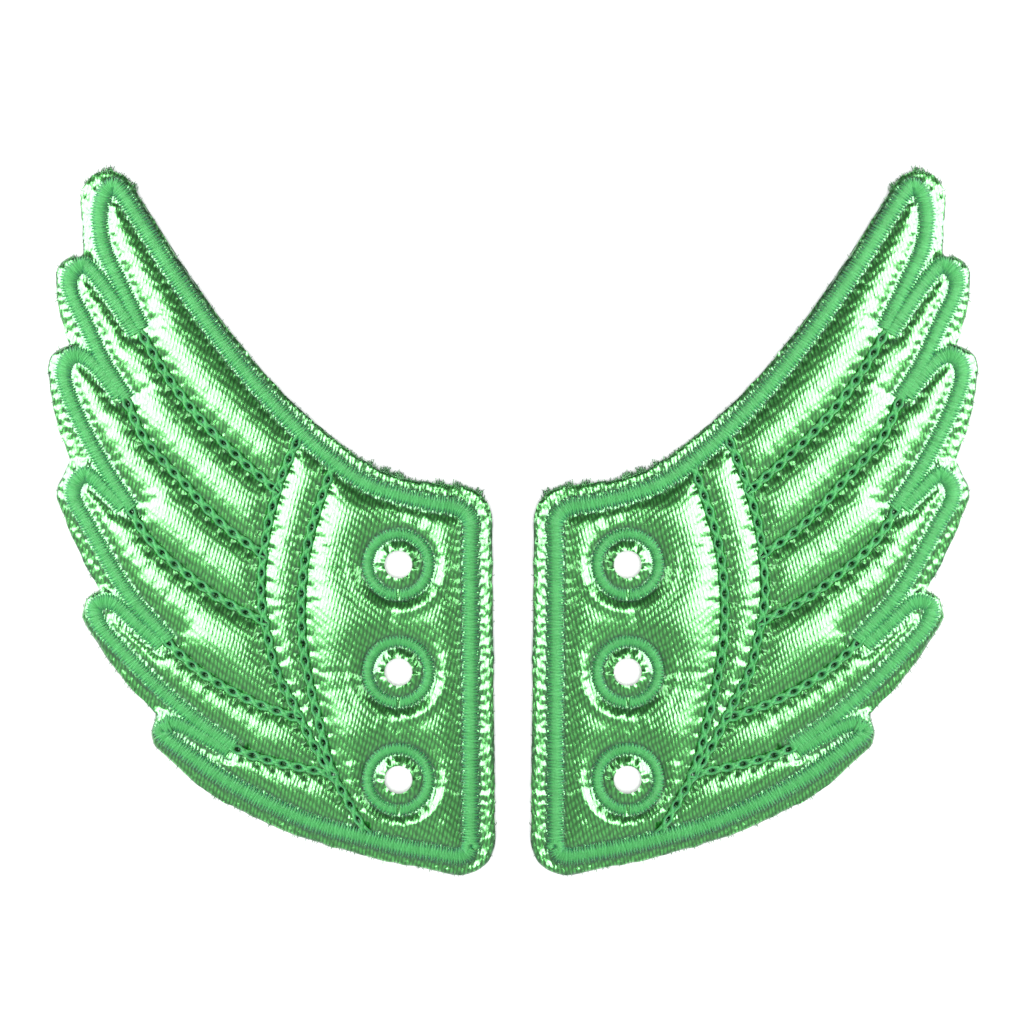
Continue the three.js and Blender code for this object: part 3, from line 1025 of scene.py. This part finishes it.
def spans(line):
    """The middle, the direction and the length of each step along a line."""
    steps = np.diff(line, axis=0)
    length = np.linalg.norm(steps, axis=1)
    return (line[1:] + line[:-1]) / 2, steps / length[:, None], length


def teeth(count):
    """The uneven ends of a row of stitches, which are alike again about every fourth stitch."""
    return np.cos(np.arange(count) * math.pi / 2 + np.cumsum(chance.normal(0, 0.12, count)))


def zigzag(count, reach):
    return reach * np.where(np.arange(count) % 2, 1, -1)


SATIN_PITCH = 0.23  # from one stitch to the next
THREAD_WIDTH = 0.42
SATIN_BASE = STITCHED_Z + 0.02
TURN_SHARE = 0.8  # of a bend's radius that stitches reach on its inner side


def satin_column(points, lift):
    line, way, travel = smooth_line(points, 0.1)
    turn = np.gradient(np.unwrap(np.arctan2(way[:, 1], way[:, 0])), travel)
    turn = np.convolve(np.pad(turn, 4, "edge"), np.ones(9) / 9, "valid")
    crowd = 1 + np.abs(turn) * SATIN_WIDTH / 2
    laps = np.concatenate([[0], np.cumsum(0.5 * (crowd[1:] + crowd[:-1]) * np.diff(travel))])
    at = np.arange(SATIN_PITCH / 2, laps[-1], SATIN_PITCH)
    place = np.stack([np.interp(at, laps, line[:, k]) for k in (0, 1)], axis=1)
    left = left_of(unit(np.stack([np.interp(at, laps, way[:, k]) for k in (0, 1)], axis=1)))
    bend = np.interp(at, laps, turn)
    tooth = teeth(len(at))
    full = SATIN_WIDTH / 2 + 0.1 * tooth + chance.normal(0, 0.05, len(at))
    to_left = np.minimum(full, TURN_SHARE / np.maximum(bend, 1e-6))
    to_right = np.minimum(full, TURN_SHARE / np.maximum(-bend, 1e-6))
    middles = place + left * ((to_left - to_right) / 2)[:, None]
    return lay(
        satin_stitch, middles, left, (to_left + to_right) / 2, THREAD_WIDTH, SATIN_BASE + lift,
        lean=zigzag(len(at), SATIN_PITCH / 2),
        lift=1 + chance.normal(0, 0.04, len(at)),
        # The longer teeth get less painted shade at their ends.
        depth=0.8 - 0.55 * tooth,
    )


# %% [markdown]
# ## Satin columns and lace hole rings
# The columns that were sewn first lie a little higher where two of them meet, so that their threads don't
# run through each other. The rings are columns too, bent into a circle round each lace hole, with a small
# gap at the bottom where the thread starts and ends.

# %% Sew the satin
ON_BOTH_SIDES = {"leading_edge_satin", "tab_border_satin", "trailing_edge_satin"}
for order, (name, points) in enumerate(SATIN_LINES.items()):
    spots, faces, uv, values = satin_column(points, lift=0.2 - 0.03 * order)
    pieces = add_piece(name, spots, faces, thread_material, uv, values)
    settle(pieces, [name], None if name in ON_BOTH_SIDES else "feathers")
    print(f"{name}: {len(faces) // len(satin_stitch['faces'])} stitches")

RING_STITCHES = 130
RING_GAP = math.radians(5)
out = directions(np.linspace(RING_GAP, math.tau - RING_GAP, RING_STITCHES) - math.pi / 2)
for name, centre in zip(HOLE_NAMES, HOLES):
    middles = centre + out * RING_MIDDLE
    tooth = teeth(RING_STITCHES)
    reach = RING_HALF + 0.05 * tooth + chance.normal(0, 0.03, RING_STITCHES)
    spots, faces, uv, values = lay(
        satin_stitch, middles, out, reach, THREAD_WIDTH, SATIN_BASE + 0.1,
        # The longer teeth get less painted shade at their ends.
        lean=zigzag(RING_STITCHES, 0.11), depth=0.8 - 0.5 * tooth,
    )
    pieces = add_piece(f"eyelet_ring_{name}", spots, faces, thread_material, uv, values)
    settle(pieces, [f"eyelet_ring_{name}"], "tab")

# %% [markdown]
# ## Quilting seams
# The seams are a chain: at each needle hole two strands part and go round it, and halfway to the next
# hole they meet. So each link is two rods that bow away from each other, with the dark hole between them,
# and a third rod covers the place where they meet.

# %% Sew the seams
SEAM_Z = STITCHED_Z + 0.1
STRAND_WIDTH = 0.5
LINK_BOW = 0.58
BRIDGE_WIDTH = 0.7  # of the third rod
BRIDGE_GAP = 0.42
WHOLLY_ON_FEATHERS = {"vein_seam_1", "vein_seam_2", "vein_seam_3", "vein_seam_4"}
for name, points in SEAM_LINES.items():
    line, way, _ = smooth_line(points, NEEDLE_PITCH)
    strands = []
    for bow in (-LINK_BOW, LINK_BOW):
        bows = bow + chance.normal(0, 0.04, len(way))
        half = np.full(len(way), NEEDLE_PITCH / 2 + 0.12)
        strands.append(lay(chain_link, line, way, half, STRAND_WIDTH, SEAM_Z, bow=bows))
    middles, ways, length = spans(line)
    strands.append(
        lay(satin_stitch, middles, ways, length / 2 - BRIDGE_GAP, BRIDGE_WIDTH, SEAM_Z + 0.14, lift=0.7)
    )
    spots, faces, uv, values = joined(strands)
    nodes = [name, "band_seam_outer_foot"] if name == "band_seam_outer" else [name]
    pieces = add_piece(name, spots, faces, thread_material, uv, values)
    settle(pieces, nodes, "feathers" if name in WHOLLY_ON_FEATHERS else None)
print("needle holes:", len(needle_holes))

# %% [markdown]
# ## The underside
# Every stitch has its other half on the back, where the bobbin thread holds it. It is pulled thin and
# flat, and it lies in the lining instead of standing on it.

# %% Bobbin thread
BOBBIN_WIDTH = 0.62
BOBBIN_REACH = 0.62
RING_BOBBINS = 52


def bobbin_thread():
    def lay_flat(middles, ways, reach, width, **options):
        return lay(satin_stitch, middles, ways, reach, width, BACK_BOTTOM + 0.05, lift=-0.35, **options)

    parts = []
    for points in SATIN_LINES.values():
        line, way, _ = smooth_line(points, 2 * SATIN_PITCH)
        reach = BOBBIN_REACH + chance.normal(0, 0.08, len(line))
        parts.append(lay_flat(line, left_of(way), reach, BOBBIN_WIDTH, lean=0.12))
    for points in SEAM_LINES.values():
        middles, ways, length = spans(smooth_line(points, NEEDLE_PITCH)[0])
        parts.append(lay_flat(middles, ways, length / 2, STRAND_WIDTH))
    out = directions(np.linspace(0, math.tau, RING_BOBBINS, endpoint=False))
    for centre in HOLES:
        middles = centre + out * RING_MIDDLE
        parts.append(lay_flat(middles, out, np.full(RING_BOBBINS, 0.6), BOBBIN_WIDTH, lean=0.1))
    return joined(parts)


spots, faces, uv, values = bobbin_thread()
settle(add_piece("bobbin_thread", spots, faces, bobbin_material, uv, values), [])
print(f"bobbin thread lies from {spots[:, 2].min():.2f} to {spots[:, 2].max():.2f} mm")

# %% [markdown]
# ## Frayed edge
# Where the face cloth is cut across its ribs, their yarns come loose and stick out as a short fringe.
# There are many along the top edge of the tab and at the tip of the first feather, and a few everywhere
# else.

# %% Fray
RIB_SLANT = 0.24
TUFTS = [(-19.9, 8.0), (-17.6, 7.6), (-63.3, 54.5)]  # the three that stand out
LOOSE_YARNS = 600


def yarns(picks, long, width, spread, lowest):
    """Yarn ends that stick out at points of the outline, partly along the cloth's ribs."""
    rib_way = np.array([math.sin(RIB_SLANT), math.cos(RIB_SLANT)]) * np.sign(OUTWARDS[picks, 1])[:, None]
    ways = unit(OUTWARDS[picks] * 0.7 + rib_way * 0.6 + chance.normal(0, 0.22, (len(picks), 2)))
    roots = OUTLINE[picks] + chance.normal(0, spread, (len(picks), 2)) - ways * 0.2
    heights = STITCHED_Z - 0.2 - lowest * chance.random(len(picks)) ** 2
    bows = chance.normal(0, 0.06, len(picks))
    return lay(yarn_end, roots + ways * long[:, None] * 0.6, ways, long, width, heights, bow=bows, lift=width)


def frayed_yarns():
    on_tab_top = (OUTLINE[:, 0] > -27) & (OUTLINE[:, 1] > 3)
    on_first_tip = OUTLINE[:, 1] > 51.5
    odds = 0.2 + 0.7 * OUTWARDS[:, 1] ** 2 + 1.5 * on_tab_top + 1.5 * on_first_tip
    picks = chance.choice(len(OUTLINE), LOOSE_YARNS, p=odds / odds.sum())
    loose = yarns(picks, 0.14 + 0.2 * chance.random(len(picks)), 0.12, 0.12, lowest=1.3)
    known = nearest(TUFTS, OUTLINE)[1]
    others = chance.choice(np.nonzero(on_tab_top | on_first_tip)[0], 6, replace=False)
    tuft_middles = np.concatenate([known, known, others])
    beside = np.round(chance.normal(0, 0.8, (len(tuft_middles), 16))).astype(int)
    picks = (tuft_middles[:, None] + beside).ravel() % len(OUTLINE)
    tufts = yarns(picks, 0.3 + 0.3 * chance.random(len(picks)), 0.16, 0.2, lowest=0.5)
    return joined([loose, tufts])


spots, faces, uv, values = frayed_yarns()
# The yarn ends take a random darker tone through the same colour mix.
values["painted_shade_and_tone"] = 0.2 + 0.6 * values["strand"]
settle(add_piece("frayed_yarns", spots, faces, foil_material, uv, values), [])
print("yarn ends:", len(faces) // len(yarn_end["faces"]))
